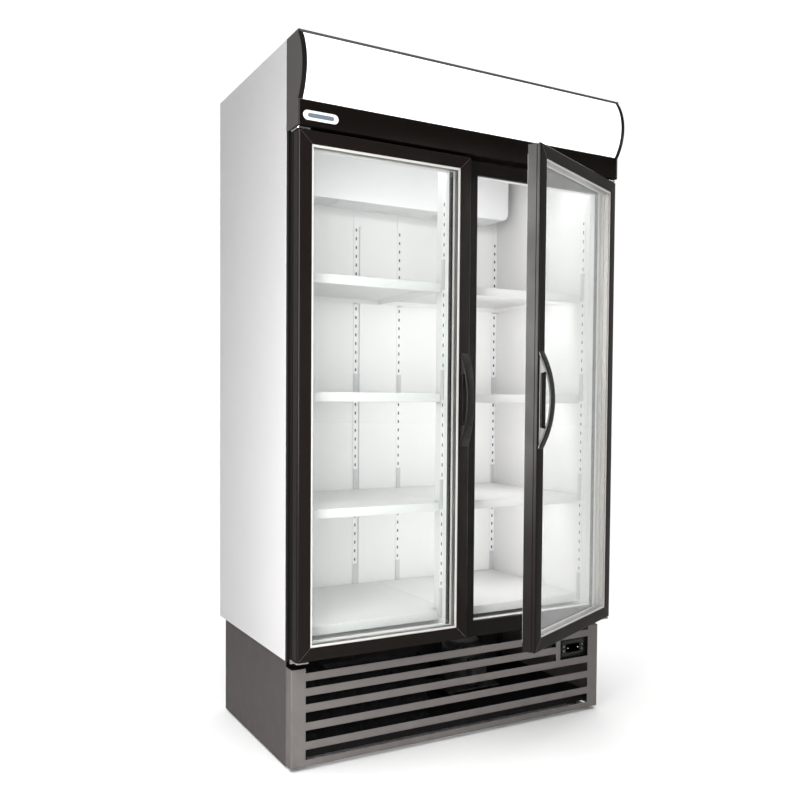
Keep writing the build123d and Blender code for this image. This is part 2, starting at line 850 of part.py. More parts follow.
def compressor():
    x, y = compressor_place
    low = deck + mount_height
    can_low = low + compressor_plate[2]
    shell = upright(compressor_radius, (can_low, can_low + compressor_height), x, y)
    shell = fillet(shell.edges().filter_by(GeomType.CIRCLE), compressor_round)
    plate_x = (x - compressor_plate[0], x + compressor_plate[0])
    plate = block(plate_x, (y - compressor_plate[1], y + compressor_plate[1]), (low, can_low))
    box_y = (y - compressor_radius - terminal_half, y)
    box_z = (can_low + terminal_z[0], can_low + terminal_z[1])
    return shell + plate + block((x - terminal_half, x + terminal_half), box_y, box_z)


def mounts():
    x, y = compressor_place
    dx, dy = mount_spread
    spots = [(x - dx, y - dy), (x - dx, y + dy), (x + dx, y - dy), (x + dx, y + dy)]
    return [upright(mount_radius, (deck, deck + mount_height), px, py) for px, py in spots]


def drain_pan():
    wide, deep, tall = pan_size
    x = (pan_place[0] - wide / 2, pan_place[0] + wide / 2)
    y = (pan_place[1] - deep / 2, pan_place[1] + deep / 2)
    inner_x = (x[0] + pan_sheet, x[1] - pan_sheet)
    inner_y = (y[0] + pan_sheet, y[1] - pan_sheet)
    return block(x, y, (deck, deck + tall)) - block(inner_x, inner_y, (deck + pan_sheet, deck + tall))


save("condenser_coil", [condenser_coil()])
save("condenser_fan_housing", [condenser_housing()])
wheel = impeller(fan_radius, fan_hub, wheel_depth, fan_blades)
save("condenser_fan", [Pos(unit_x, fan_y - wheel_shift, fan_z) * Rot(90, 0, 0) * wheel])
save("compressor", [compressor()])
save("compressor_mounts", mounts())
save("drain_pan", [drain_pan()])

# ---- power inlet on the rear plate ----
inlet_x = base_half - inlet_inset
inlet_z = tray_height + tray_lip + inlet_rise


def inlet_block(middle_x, half_size, y):
    """A box about the inlet's height, centred on an X."""
    x = (middle_x - half_size[0], middle_x + half_size[0])
    return block(x, y, (inlet_z - half_size[1], inlet_z + half_size[1]))


def power_inlet():
    """A flanged socket with three blades."""
    floor = base_back + inlet_floor
    shape = inlet_block(inlet_x, inlet_flange, (base_back, base_back + inlet_depth))
    shape -= inlet_block(inlet_x, inlet_socket, (floor, base_back + inlet_depth))
    for dx in (-inlet_pin_pitch, 0, inlet_pin_pitch):
        shape += inlet_block(inlet_x + dx, inlet_pin[:2], (floor, base_back + inlet_pin[2]))
    return shape


save("power_inlet", [power_inlet()])

# ---- hinges: an angle plate with its pin, above and below each door ----
hinge_y_span = (front_plane + 4, -frame_depth)


def hinge(plate_z, flange_z, pin_z):
    x = (-hinge_x - hinge_half_width, -hinge_x + hinge_half_width)
    shape = block(x, hinge_y_span, plate_z)
    shape += block(x, (-frame_depth - hinge_plate, -frame_depth), flange_z)
    nose = [edge for edge in shape.edges().filter_by(Axis.Z) if edge.center().Y < front_plane + 6]
    shape = fillet(nose, 8)
    return shape + upright(pin_radius, pin_z, -hinge_x, hinge_y)


top_plate = (door_high + hinge_gap, door_high + hinge_gap + hinge_plate)
low_plate = (door_low - hinge_gap - hinge_plate, door_low - hinge_gap)
top_hinge = hinge(top_plate, (top_plate[0], header_bottom), (door_high - pin_reach, top_plate[1]))
low_hinge = hinge(low_plate, (base_height, low_plate[1]), (low_plate[0], door_low + pin_reach))
save("hinge_brackets", both_sides([top_hinge, low_hinge]))

# ---- screws: rear plate ----
rear_screws = []
for z in (base_height + 40, (base_height + height) / 2, height - 40):
    y = (rear_inner + sheet, rear_inner + sheet + screw_head)
    rear_screws.append(along_y(screw_radius, y, -half + 20, z))
save("casing_screws", both_sides(rear_screws))


# ---- doors: built closed, hinged at the left ----
door_x = (-door_outer, -door_inner)
door_z = (door_low, door_high)


def door_frame():
    lip = ring(door_x, door_z, (front_plane, front_plane + door_lip), 0, door_face)
    body = ring(door_x, door_z, (front_plane + door_lip, door_back), 0, door_body)
    pocket_y = (front_plane + pocket_floor, door_back)
    pocket = ring(door_x, door_z, pocket_y, door_wall, door_body - 2 * door_wall)
    groove_y = (front_plane + groove_back, front_plane + groove_back + groove_width)
    groove = ring(door_x, door_z, groove_y, 0, groove_depth)
    pin_hole = upright(pin_radius + pin_play, (door_high - pin_reach - 2, door_high), -hinge_x, hinge_y)
    pin_hole += upright(pin_radius + pin_play, (door_low, door_low + pin_reach + 2), -hinge_x, hinge_y)
    bars = []
    for index in range(4):
        bars.append(lip[index] + body[index] - pocket[index] - groove[index] - pin_hole)
    return bars


glass_front = front_plane + door_lip
glass_back = glass_front + 2 * pane + pane_gap
pane_inset = door_body + pane_clearance
sight_inset = door_face + trim_cover


def door_glass():
    x = (door_x[0] + pane_inset, door_x[1] - pane_inset)
    z = (door_z[0] + pane_inset, door_z[1] - pane_inset)
    outer = block(x, (glass_front, glass_front + pane), z)
    inner = block(x, (glass_back - pane, glass_back), z)
    return [outer, inner]


def door_spacer():
    y = (glass_front + pane, glass_back - pane)
    return ring(door_x, door_z, y, pane_inset, sight_inset - pane_inset)


def door_trim():
    """White strips: round the front pane, round the rear pane, and over the frame's open back."""
    front = ring(door_x, door_z, (glass_front - seal_thickness, glass_front), door_face, trim_cover)
    rear = ring(door_x, door_z, (glass_back, door_back), door_body, sight_inset - door_body)
    cover = ring(door_x, door_z, (door_back - cover_sheet, door_back), door_wall, door_body - 2 * door_wall)
    return front + rear + cover


def door_gasket():
    y = (door_back, -frame_depth - gasket_clearance)
    return ring(door_x, door_z, y, gasket_inset, gasket_width)


def arc_slab(half_width, middle, low_y):
    """A slab in X and Z whose long sides curve in from half_width to middle."""
    high = handle_length / 2
    sides = Polyline((-half_width, -high), (half_width, -high))
    sides += ThreePointArc((half_width, -high), (middle, 0), (half_width, high))
    sides += Polyline((half_width, high), (-half_width, high))
    sides += ThreePointArc((-half_width, high), (-middle, 0), (-half_width, -high))
    plane = Plane(origin=(0, low_y, 0), x_dir=(1, 0, 0), z_dir=(0, -1, 0))
    return extrude(plane * make_face(sides), amount=handle_reach + 1, dir=(0, -1, 0))


def door_handle():
    """A bow on a thin plate, with wedge ends and a finger gap behind the middle."""
    high = handle_length / 2
    radius = (high**2 + handle_reach**2) / (2 * handle_reach)
    centre_y = radius - handle_reach
    x = (-handle_end_width / 2, handle_end_width / 2)
    tall = block(x, (-handle_reach - 1, 0), (-high, high))
    bow = along_x(radius, x, centre_y, 0) & tall
    hollow = along_x(radius - handle_bow, x, centre_y, 0)
    hollow &= block(x, (-handle_reach, -handle_plate), (-finger_half, finger_half))
    shape = (bow - hollow) & arc_slab(handle_end_width / 2, handle_mid_width / 2, 0)
    return Pos(-handle_x, front_plane, door_middle) * shape


door_pieces = {
    "frame": door_frame(),
    "glass": door_glass(),
    "spacer": door_spacer(),
    "glazing_trim": door_trim(),
    "gasket": door_gasket(),
    "handle": [door_handle()],
}
hinge_line = Axis((hinge_x, hinge_y, 0), (0, 0, 1))
for piece, shapes in door_pieces.items():
    save(f"door_left_{piece}", shapes)
    ajar = [mirror(shape, about=Plane.YZ).rotate(hinge_line, rest_angle) for shape in shapes]
    save(f"door_right_{piece}", ajar)
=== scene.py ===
import math

import bmesh
import bpy
from mathutils import Matrix, Vector
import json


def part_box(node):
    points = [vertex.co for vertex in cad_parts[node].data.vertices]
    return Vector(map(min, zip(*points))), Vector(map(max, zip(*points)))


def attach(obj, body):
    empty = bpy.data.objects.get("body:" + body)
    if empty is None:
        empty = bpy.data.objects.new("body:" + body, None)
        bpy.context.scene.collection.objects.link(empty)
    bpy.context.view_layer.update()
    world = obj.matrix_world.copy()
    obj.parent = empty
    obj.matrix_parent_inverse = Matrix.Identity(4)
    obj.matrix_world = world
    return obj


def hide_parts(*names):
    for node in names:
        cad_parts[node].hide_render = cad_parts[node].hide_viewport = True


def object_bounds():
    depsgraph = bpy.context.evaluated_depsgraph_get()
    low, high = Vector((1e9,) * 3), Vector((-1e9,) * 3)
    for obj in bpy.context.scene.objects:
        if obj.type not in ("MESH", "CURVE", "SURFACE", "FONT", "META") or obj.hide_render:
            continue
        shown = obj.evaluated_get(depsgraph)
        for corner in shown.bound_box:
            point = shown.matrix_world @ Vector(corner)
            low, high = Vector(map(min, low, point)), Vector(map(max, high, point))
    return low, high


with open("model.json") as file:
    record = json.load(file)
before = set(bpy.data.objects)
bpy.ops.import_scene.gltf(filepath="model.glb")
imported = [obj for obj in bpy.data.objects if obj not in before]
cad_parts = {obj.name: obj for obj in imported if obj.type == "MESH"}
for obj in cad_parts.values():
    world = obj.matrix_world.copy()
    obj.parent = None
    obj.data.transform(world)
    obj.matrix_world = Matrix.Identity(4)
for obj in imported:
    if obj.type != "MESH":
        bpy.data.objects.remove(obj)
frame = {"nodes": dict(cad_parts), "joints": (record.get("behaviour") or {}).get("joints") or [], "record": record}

cad_low, cad_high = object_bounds()
record = frame["record"]
slot_of = {part["node"]: part["material_slot"] for part in record["subparts"]}
body_of = {node: body for body, nodes in record["behaviour"]["bodies"].items() for node in nodes}
joint_of = {joint["name"]: joint for joint in frame["joints"]}

# ---- camera ----
camera_place = Vector((-1.5235, cad_high.y - 2.9673, 1.0713))
camera_turn = math.radians(29.196)
camera_tilt = math.radians(-1.959)
camera_roll = math.radians(0.4095)
camera_focal = 39.314
camera_sensor = 36.0
camera_lift = 0.0416


def make_camera():
    """A camera on the left of the cabinet, at chest height, looking slightly down."""
    level = math.cos(camera_tilt)
    ahead = Vector((math.sin(camera_turn) * level, math.cos(camera_turn) * level, math.sin(camera_tilt)))
    across = Vector((math.cos(camera_turn), -math.sin(camera_turn), 0))
    upward = across.cross(ahead)
    right = across * math.cos(camera_roll) + upward * math.sin(camera_roll)
    top = upward * math.cos(camera_roll) - across * math.sin(camera_roll)
    data = bpy.data.cameras.new("camera")
    data.lens = camera_focal
    data.sensor_width = camera_sensor
    data.shift_y = camera_lift
    data.clip_end = 200
    camera = bpy.data.objects.new("camera", data)
    bpy.context.scene.collection.objects.link(camera)
    turn = Matrix((right, top, -ahead)).transposed().to_4x4()
    camera.matrix_world = Matrix.Translation(camera_place) @ turn
    bpy.context.scene.camera = camera


make_camera()


# ---- node groups shared by the materials ----
def new_group(name, inputs, outputs):
    """An empty shader group; inputs are (name, kind, value) and outputs are (name, kind)."""
    group = bpy.data.node_groups.new(name, "ShaderNodeTree")
    kinds = {"number": "NodeSocketFloat", "colour": "NodeSocketColor", "vector": "NodeSocketVector"}
    for label, kind, value in inputs:
        socket = group.interface.new_socket(name=label, in_out="INPUT", socket_type=kinds[kind])
        socket.default_value = value
    for label, kind in outputs:
        group.interface.new_socket(name=label, in_out="OUTPUT", socket_type=kinds[kind])
    return group, group.nodes.new("NodeGroupInput"), group.nodes.new("NodeGroupOutput")


def add_node(tree, kind, **values):
    """A node whose named properties are set, and whose inputs are set by index or name from sockets=."""
    node = tree.nodes.new(kind)
    sockets = values.pop("sockets", {})
    for key, value in values.items():
        setattr(node, key, value)
    for socket, value in sockets.items():
        node.inputs[socket].default_value = value
    return node


def noise_on(tree, vector, scale_socket=None, scale=5.0, detail=2.0, rough=0.5):
    """Noise on a vector, with its scale a number or a socket."""
    sockets = {"Scale": scale, "Detail": detail, "Roughness": rough}
    node = add_node(tree, "ShaderNodeTexNoise", sockets=sockets)
    tree.links.new(vector, node.inputs["Vector"])
    if scale_socket is not None:
        tree.links.new(scale_socket, node.inputs["Scale"])
    return node.outputs["Fac"]


def mix_colours(tree, factor, first, second):
    """A colour mix, where each input is a value or a socket."""
    node = add_node(tree, "ShaderNodeMix", data_type="RGBA")
    for socket, source in ((node.inputs[0], factor), (node.inputs[6], first), (node.inputs[7], second)):
        if hasattr(source, "is_output"):
            tree.links.new(source, socket)
        else:
            socket.default_value = source
    return node.outputs[2]


def remap(tree, value, low_in, high_in, low_out, high_out):
    """Map Range, where each limit is a number or a socket."""
    node = add_node(tree, "ShaderNodeMapRange")
    tree.links.new(value, node.inputs["Value"])
    names = ("From Min", "From Max", "To Min", "To Max")
    for socket, limit in zip(names, (low_in, high_in, low_out, high_out)):
        if hasattr(limit, "is_output"):
            tree.links.new(limit, node.inputs[socket])
        else:
            node.inputs[socket].default_value = limit
    return node.outputs["Result"]


def calculate(tree, operation, first, second):
    """A maths node, where each input is a number or a socket."""
    node = add_node(tree, "ShaderNodeMath", operation=operation)
    for socket, source in ((node.inputs[0], first), (node.inputs[1], second)):
        if hasattr(source, "is_output"):
            tree.links.new(source, socket)
        else:
            socket.default_value = source
    return node.outputs[0]


def sprayed_coat():
    """Powder coat or paint: slow tone drift, uneven gloss and a fine orange peel."""
    inputs = [
        ("Tone", "colour", (0.8, 0.8, 0.8, 1)),
        ("Second Tone", "colour", (0.7, 0.7, 0.7, 1)),
        ("Drift Scale", "number", 3.0),
        ("Low Roughness", "number", 0.3),
        ("High Roughness", "number", 0.4),
        ("Peel Scale", "number", 350.0),
        ("Peel Height", "number", 0.05),
    ]
    outputs = [("Color", "colour"), ("Roughness", "number"), ("Normal", "vector")]
    group, start, end = new_group("sprayed_coat", inputs, outputs)
    place = add_node(group, "ShaderNodeTexCoord").outputs["Object"]
    drift = noise_on(group, place, start.outputs["Drift Scale"], detail=4.0)
    colour = mix_colours(group, drift, start.outputs["Tone"], start.outputs["Second Tone"])
    gloss = noise_on(group, place, scale=11.0, detail=5.0)
    rough = remap(group, gloss, 0.35, 0.65, start.outputs["Low Roughness"], start.outputs["High Roughness"])
    peel = noise_on(group, place, start.outputs["Peel Scale"], detail=1.0)
    bump = add_node(group, "ShaderNodeBump", sockets={"Distance": 0.0006})
    group.links.new(start.outputs["Peel Height"], bump.inputs["Strength"])
    group.links.new(peel, bump.inputs["Height"])
    group.links.new(colour, end.inputs["Color"])
    group.links.new(rough, end.inputs["Roughness"])
    group.links.new(bump.outputs["Normal"], end.inputs["Normal"])
    return group


def moulded_grain():
    """Moulded plastic: pebbled grain with slightly glossier tops and a faint tone change."""
    inputs = [
        ("Tone", "colour", (0.02, 0.02, 0.02, 1)),
        ("Second Tone", "colour", (0.03, 0.03, 0.03, 1)),
        ("Grain Scale", "number", 900.0),
        ("Grain Height", "number", 0.2),
        ("Low Roughness", "number", 0.35),
        ("High Roughness", "number", 0.55),
    ]
    outputs = [("Color", "colour"), ("Roughness", "number"), ("Normal", "vector")]
    group, start, end = new_group("moulded_grain", inputs, outputs)
    place = add_node(group, "ShaderNodeTexCoord").outputs["Object"]
    cells = add_node(group, "ShaderNodeTexVoronoi", feature="SMOOTH_F1", sockets={"Smoothness": 0.6})
    group.links.new(place, cells.inputs["Vector"])
    group.links.new(start.outputs["Grain Scale"], cells.inputs["Scale"])
    drift = noise_on(group, place, scale=9.0, detail=4.0)
    colour = mix_colours(group, drift, start.outputs["Tone"], start.outputs["Second Tone"])
    rough = remap(group, cells.outputs["Distance"], 0.0, 0.7, start.outputs["Low Roughness"],
                  start.outputs["High Roughness"])
    bump = add_node(group, "ShaderNodeBump", invert=True, sockets={"Distance": 0.0004})
    group.links.new(start.outputs["Grain Height"], bump.inputs["Strength"])
    group.links.new(cells.outputs["Distance"], bump.inputs["Height"])
    group.links.new(colour, end.inputs["Color"])
    group.links.new(rough, end.inputs["Roughness"])
    group.links.new(bump.outputs["Normal"], end.inputs["Normal"])
    return group


def plated_metal():
    """Zinc or aluminium: crystal patches, drawn lines along one axis and uneven gloss."""
    inputs = [
        ("Tone", "colour", (0.6, 0.6, 0.6, 1)),
        ("Second Tone", "colour", (0.5, 0.5, 0.5, 1)),
        ("Patch Scale", "number", 60.0),
        ("Line Stretch", "vector", (1.0, 1.0, 1.0)),
        ("Line Height", "number", 0.1),
        ("Low Roughness", "number", 0.25),
        ("High Roughness", "number", 0.4),
    ]
    outputs = [("Color", "colour"), ("Roughness", "number"), ("Normal", "vector")]
    group, start, end = new_group("plated_metal", inputs, outputs)
    place = add_node(group, "ShaderNodeTexCoord").outputs["Object"]
    patches = add_node(group, "ShaderNodeTexVoronoi")
    group.links.new(place, patches.inputs["Vector"])
    group.links.new(start.outputs["Patch Scale"], patches.inputs["Scale"])
    grey = add_node(group, "ShaderNodeRGBToBW")
    group.links.new(patches.outputs["Color"], grey.inputs["Color"])
    colour = mix_colours(group, grey.outputs["Val"], start.outputs["Tone"], start.outputs["Second Tone"])
    rough = remap(group, grey.outputs["Val"], 0.1, 0.9, start.outputs["Low Roughness"],
                  start.outputs["High Roughness"])
    stretch = add_node(group, "ShaderNodeVectorMath", operation="MULTIPLY")
    group.links.new(place, stretch.inputs[0])
    group.links.new(start.outputs["Line Stretch"], stretch.inputs[1])
    lines = noise_on(group, stretch.outputs["Vector"], scale=40.0, detail=3.0)
    bump = add_node(group, "ShaderNodeBump", sockets={"Distance": 0.0003})
    group.links.new(start.outputs["Line Height"], bump.inputs["Strength"])
    group.links.new(lines, bump.inputs["Height"])
    group.links.new(colour, end.inputs["Color"])
    group.links.new(rough, end.inputs["Roughness"])
    group.links.new(bump.outputs["Normal"], end.inputs["Normal"])
    return group


def settled_dust():
    """A mask of thin dust: more on faces that look up and near the floor, broken up by noise."""
    inputs = [("Reach", "number", 0.25), ("Amount", "number", 0.3)]
    group, start, end = new_group("settled_dust", inputs, [("Mask", "number")])
    place = add_node(group, "ShaderNodeTexCoord").outputs["Object"]
    split = add_node(group, "ShaderNodeSeparateXYZ")
    group.links.new(place, split.inputs["Vector"])
    near_floor = remap(group, split.outputs["Z"], start.outputs["Reach"], 0.0, 0.0, 1.0)
    facing = add_node(group, "ShaderNodeSeparateXYZ")
    group.links.new(add_node(group, "ShaderNodeNewGeometry").outputs["Normal"], facing.inputs["Vector"])
    upwards = remap(group, facing.outputs["Z"], 0.5, 1.0, 0.0, 1.0)
    both = calculate(group, "MAXIMUM", near_floor, upwards)
    blotches = remap(group, noise_on(group, place, scale=26.0, detail=6.0), 0.35, 0.75, 0.2, 1.0)
    speckled = calculate(group, "MULTIPLY", both, blotches)
    mask = calculate(group, "MULTIPLY", speckled, start.outputs["Amount"])
    group.links.new(mask, end.inputs["Mask"])
    return group


groups = {maker.__name__: maker() for maker in (sprayed_coat, moulded_grain, plated_metal, settled_dust)}
dust_tone = (0.42, 0.40, 0.37, 1)
materials = {}


def place_group(tree, name, **values):
    """A shared group placed in a material, with its inputs set by name."""
    node = tree.nodes.new("ShaderNodeGroup")
    node.node_tree = groups[name]
    for label, value in values.items():
        node.inputs[label.replace("_", " ").title()].default_value = value
    return node


def surface(slot, group, dust=None, shader_values=(), **values):
    """A material for one slot: a shared effect group feeding a Principled shader, with dust if wanted."""
    material = bpy.data.materials.new(slot)
    material.use_nodes = True
    tree = material.node_tree
    shader = tree.nodes["Principled BSDF"]
    finish = place_group(tree, group, **values)
    colour = finish.outputs["Color"]
    rough = finish.outputs["Roughness"]
    if dust:
        veil = place_group(tree, "settled_dust", reach=dust[0], amount=dust[1])
        colour = mix_colours(tree, veil.outputs["Mask"], colour, dust_tone)
        rough = calculate(tree, "MAXIMUM", rough, veil.outputs["Mask"])
    tree.links.new(colour, shader.inputs["Base Color"])
    tree.links.new(rough, shader.inputs["Roughness"])
    tree.links.new(finish.outputs["Normal"], shader.inputs["Normal"])
    for label, value in dict(shader_values).items():
        shader.inputs[label].default_value = value
    materials[slot] = material
    return material


def paint(slot, tone, second, low, high, dust=None, drift=3.0, peel=350.0, height=0.05, gloss=0.5):
    return surface(slot, "sprayed_coat", dust, [("Specular IOR Level", gloss)], tone=(*tone, 1),
                   second_tone=(*second, 1), drift_scale=drift, low_roughness=low, high_roughness=high,
                   peel_scale=peel, peel_height=height)


def moulding(slot, tone, second, low, high, grain=900.0, height=0.2, dust=None, gloss=0.5):
    return surface(slot, "moulded_grain", dust, [("Specular IOR Level", gloss)], tone=(*tone, 1),
                   second_tone=(*second, 1), grain_scale=grain, grain_height=height, low_roughness=low,
                   high_roughness=high)


def metal(slot, tone, second, low, high, patches=60.0, stretch=(1, 1, 1), height=0.1, dust=None):
    return surface(slot, "plated_metal", dust, [("Metallic", 1.0)], tone=(*tone, 1), second_tone=(*second, 1),
                   patch_scale=patches, line_stretch=stretch, line_height=height, low_roughness=low,
                   high_roughness=high)


def glowing(slot, strength, tone, drift):
    """A lit diffuser: paint underneath, and light whose tint drifts a little between warm and cool."""
    material = paint(slot, tone, tuple(c * 0.97 for c in tone), 0.3, 0.4)
    tree = material.node_tree
    shader = tree.nodes["Principled BSDF"]
    place = add_node(tree, "ShaderNodeTexCoord").outputs["Object"]
    cloud = noise_on(tree, place, scale=drift, detail=1.0)
    warm = mix_colours(tree, cloud, (1.0, 0.995, 0.98, 1), (0.98, 0.99, 1.0, 1))
    tree.links.new(warm, shader.inputs["Emission Color"])
    shader.inputs["Emission Strength"].default_value = strength
    return material


def glass(slot, tint):
    """Float glass with a very slight roller wave; lamps shine through it."""
    material = bpy.data.materials.new(slot)
    material.use_nodes = True
    tree = material.node_tree
    shader = tree.nodes["Principled BSDF"]
    shader.inputs["Transmission Weight"].default_value = 1.0
    shader.inputs["Metallic"].default_value = 0.0
    shader.inputs["IOR"].default_value = 1.46
    shader.inputs["Roughness"].default_value = 0.0
    place = add_node(tree, "ShaderNodeTexCoord").outputs["Object"]
    clouds = noise_on(tree, place, scale=2.0, detail=2.0)
    colour = mix_colours(tree, clouds, (*tint, 1), tuple(c * 0.99 for c in tint) + (1,))
    tree.links.new(colour, shader.inputs["Base Color"])
    wave = add_node(tree, "ShaderNodeTexWave", bands_direction="Z", sockets={"Scale": 1.2, "Distortion": 1.5})
    tree.links.new(place, wave.inputs["Vector"])
    bump = add_node(tree, "ShaderNodeBump", sockets={"Strength": 0.015, "Distance": 0.002})
    tree.links.new(wave.outputs["Fac"], bump.inputs["Height"])
    tree.links.new(bump.outputs["Normal"], shader.inputs["Normal"])
    clear = add_node(tree, "ShaderNodeBsdfTransparent", sockets={"Color": (*tint, 1)})
    path = add_node(tree, "ShaderNodeLightPath")
    lets_through = calculate(tree, "MAXIMUM", path.outputs["Is Shadow Ray"], path.outputs["Is Diffuse Ray"])
    blend = add_node(tree, "ShaderNodeMixShader")
    tree.links.new(lets_through, blend.inputs[0])
    tree.links.new(shader.outputs["BSDF"], blend.inputs[1])
    tree.links.new(clear.outputs["BSDF"], blend.inputs[2])
    tree.links.new(blend.outputs["Shader"], tree.nodes["Material Output"].inputs["Surface"])
    materials[slot] = material


def make_materials():
    """One material for every slot of the CAD model."""
    white = (0.585, 0.577, 0.583)
    shade = (0.57, 0.565, 0.575)
    paint("cabinet_white", white, shade, 0.42, 0.5, drift=0.8, height=0.02, gloss=0.3)
    paint("liner_white", (0.78, 0.772, 0.768), (0.765, 0.757, 0.758), 0.34, 0.42, drift=1.2, height=0.06)
    paint("post_white", (0.74, 0.735, 0.73), (0.72, 0.715, 0.71), 0.3, 0.4)
    paint("upright_white", (0.80, 0.80, 0.80), (0.76, 0.76, 0.77), 0.3, 0.42)
    paint("shelf_white", (0.72, 0.715, 0.71), (0.70, 0.695, 0.695), 0.42, 0.5, drift=1.5, height=0.0,
          gloss=0.3)
    paint("evaporator_white", (0.83, 0.83, 0.83), (0.80, 0.80, 0.81), 0.3, 0.4)
    paint("frame_black", (0.007, 0.0058, 0.0052), (0.0095, 0.008, 0.0072), 0.4, 0.5, height=0.1, gloss=0.12)
    paint("header_black", (0.0042, 0.003, 0.0022), (0.0056, 0.0042, 0.0032), 0.34, 0.42, height=0.08,
          gloss=0.06)
    paint("door_black", (0.0072, 0.0052, 0.0042), (0.0092, 0.0068, 0.0056), 0.28, 0.36, height=0.05,
          gloss=0.17)
    paint("base_grey", (0.068, 0.060, 0.060), (0.08, 0.071, 0.071), 0.6, 0.7, dust=(0.25, 0.08),
          height=0.3, gloss=0.2)
    paint("grille_grey", (0.128, 0.115, 0.111), (0.15, 0.136, 0.131), 0.42, 0.52, dust=(0.3, 0.12),
          drift=20.0, height=0.22, gloss=0.3)
    paint("compressor_black", (0.012, 0.012, 0.012), (0.02, 0.02, 0.02), 0.25, 0.4, dust=(0.3, 0.3))
    moulding("clip_grey", (0.52, 0.52, 0.525), (0.58, 0.58, 0.585), 0.35, 0.5)
    moulding("fan_black", (0.02, 0.02, 0.02), (0.03, 0.03, 0.03), 0.4, 0.55)
    moulding("cap_black", (0.026, 0.0225, 0.0195), (0.032, 0.028, 0.0245), 0.3, 0.42, height=0.1, gloss=0.8)
    moulding("handle_black", (0.006, 0.0052, 0.0046), (0.0085, 0.0074, 0.0066), 0.3, 0.42, height=0.08,
             gloss=0.15)
    moulding("foot_black", (0.02, 0.02, 0.02), (0.03, 0.03, 0.03), 0.5, 0.65, dust=(0.1, 0.3))
    moulding("shroud_black", (0.02, 0.02, 0.02), (0.03, 0.03, 0.03), 0.45, 0.6, dust=(0.3, 0.25))
    moulding("rubber_black", (0.014, 0.014, 0.014), (0.022, 0.022, 0.022), 0.6, 0.75)
    moulding("pan_plastic", (0.16, 0.16, 0.16), (0.2, 0.2, 0.2), 0.45, 0.6)
    moulding("controller_black", (0.007, 0.007, 0.007), (0.012, 0.012, 0.012), 0.16, 0.28, height=0.05)
    moulding("button_grey", (0.10, 0.10, 0.10), (0.14, 0.14, 0.14), 0.35, 0.5)
    moulding("trim_white", (0.56, 0.545, 0.525), (0.61, 0.595, 0.575), 0.3, 0.42, height=0.06)
    moulding("gasket_white", (0.78, 0.78, 0.765), (0.72, 0.72, 0.70), 0.42, 0.55, height=0.08)
    moulding("badge_white", (0.82, 0.84, 0.86), (0.78, 0.81, 0.84), 0.15, 0.22, height=0.03)
    moulding("foam", (0.78, 0.70, 0.42), (0.70, 0.62, 0.36), 0.7, 0.9, grain=300.0, height=0.6)
    metal("galvanised", (0.56, 0.57, 0.58), (0.42, 0.43, 0.44), 0.28, 0.48, patches=70.0)
    metal("zinc", (0.78, 0.77, 0.74), (0.66, 0.65, 0.62), 0.18, 0.3, patches=220.0, stretch=(1, 1, 14))
    metal("coil_black", (0.03, 0.03, 0.03), (0.02, 0.02, 0.02), 0.45, 0.6, stretch=(60, 1, 1), height=0.5)
    metal("coil_fins", (0.62, 0.64, 0.66), (0.52, 0.54, 0.56), 0.3, 0.45, stretch=(60, 1, 1), height=0.5)
    metal("spacer_grey", (0.30, 0.28, 0.26), (0.24, 0.225, 0.21), 0.3, 0.42, patches=500.0,
          stretch=(1, 1, 30))
    glowing("lens_white", 0.8, (0.9, 0.9, 0.9), 1.5)
    glowing("tube_white", 3.0, (0.9, 0.9, 0.88), 8.0)
    glass("door_glass", (0.985, 0.995, 0.99))


make_materials()
for node, piece in frame["nodes"].items():
    piece.data.materials.clear()
    piece.data.materials.append(materials[slot_of[node]])


# ---- making pieces ----
def finish_piece(name, shape, body, slot, stands_for=(), edge=0.0, steps=2, look=None, crease=35):
    """Turns a bmesh into an object that rides on a body; edge is the width of its rounded edges."""
    mesh = bpy.data.meshes.new(name)
    shape.to_mesh(mesh)
    shape.free()
    mesh.materials.append(look or materials[slot])
    mesh.shade_smooth()
    piece = bpy.data.objects.new(name, mesh)
    bpy.context.scene.collection.objects.link(piece)
    if edge:
        rounding = piece.modifiers.new("rounded_edges", "BEVEL")
        rounding.width = edge
        rounding.segments = steps
        rounding.limit_method = "ANGLE"
        rounding.angle_limit = math.radians(crease)
        rounding.harden_normals = True
    else:
        mesh.set_sharp_from_angle(angle=math.radians(crease))
    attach(piece, body)
    if stands_for:
        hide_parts(*stands_for)
    return piece


def rounded_copy(node, edge, steps=2, look=None):
    """A copy of a CAD node with its facets merged and its edges rounded."""
    shape = bmesh.new()
    shape.from_mesh(frame["nodes"][node].data)
    bmesh.ops.remove_doubles(shape, verts=shape.verts, dist=0.00002)
    bmesh.ops.dissolve_limit(shape, angle_limit=math.radians(0.5), verts=shape.verts, edges=shape.edges)
    return finish_piece(f"{node}_rounded", shape, body_of[node], slot_of[node], [node], edge, steps, look)


def add_block(shape, low, high):
    """A box between two corners, added to a bmesh."""
    low, high = Vector(low), Vector(high)
    size = high - low
    place = Matrix.Translation((low + high) / 2) @ Matrix.Diagonal((*size, 1))
    return bmesh.ops.create_cube(shape, size=1, matrix=place)["verts"]


def add_prism(shape, outline, shift):
    """A closed prism: a face through the outline's points, pushed along shift."""
    base = shape.faces.new([shape.verts.new(point) for point in outline])
    pushed = bmesh.ops.extrude_face_region(shape, geom=[base], use_keep_orig=True)
    verts = [item for item in pushed["geom"] if isinstance(item, bmesh.types.BMVert)]
    bmesh.ops.translate(shape, verts=verts, vec=shift)
    return verts


def add_rod(shape, start, end, radius, sides=16):
    """A closed cylinder between two points."""
    start, end = Vector(start), Vector(end)
    turn = (end - start).to_track_quat("Z", "Y").to_matrix().to_4x4()
    place = Matrix.Translation((start + end) / 2) @ turn
    bmesh.ops.create_cone(shape, cap_ends=True, segments=sides, radius1=radius, radius2=radius,
                          depth=(end - start).length, matrix=place)


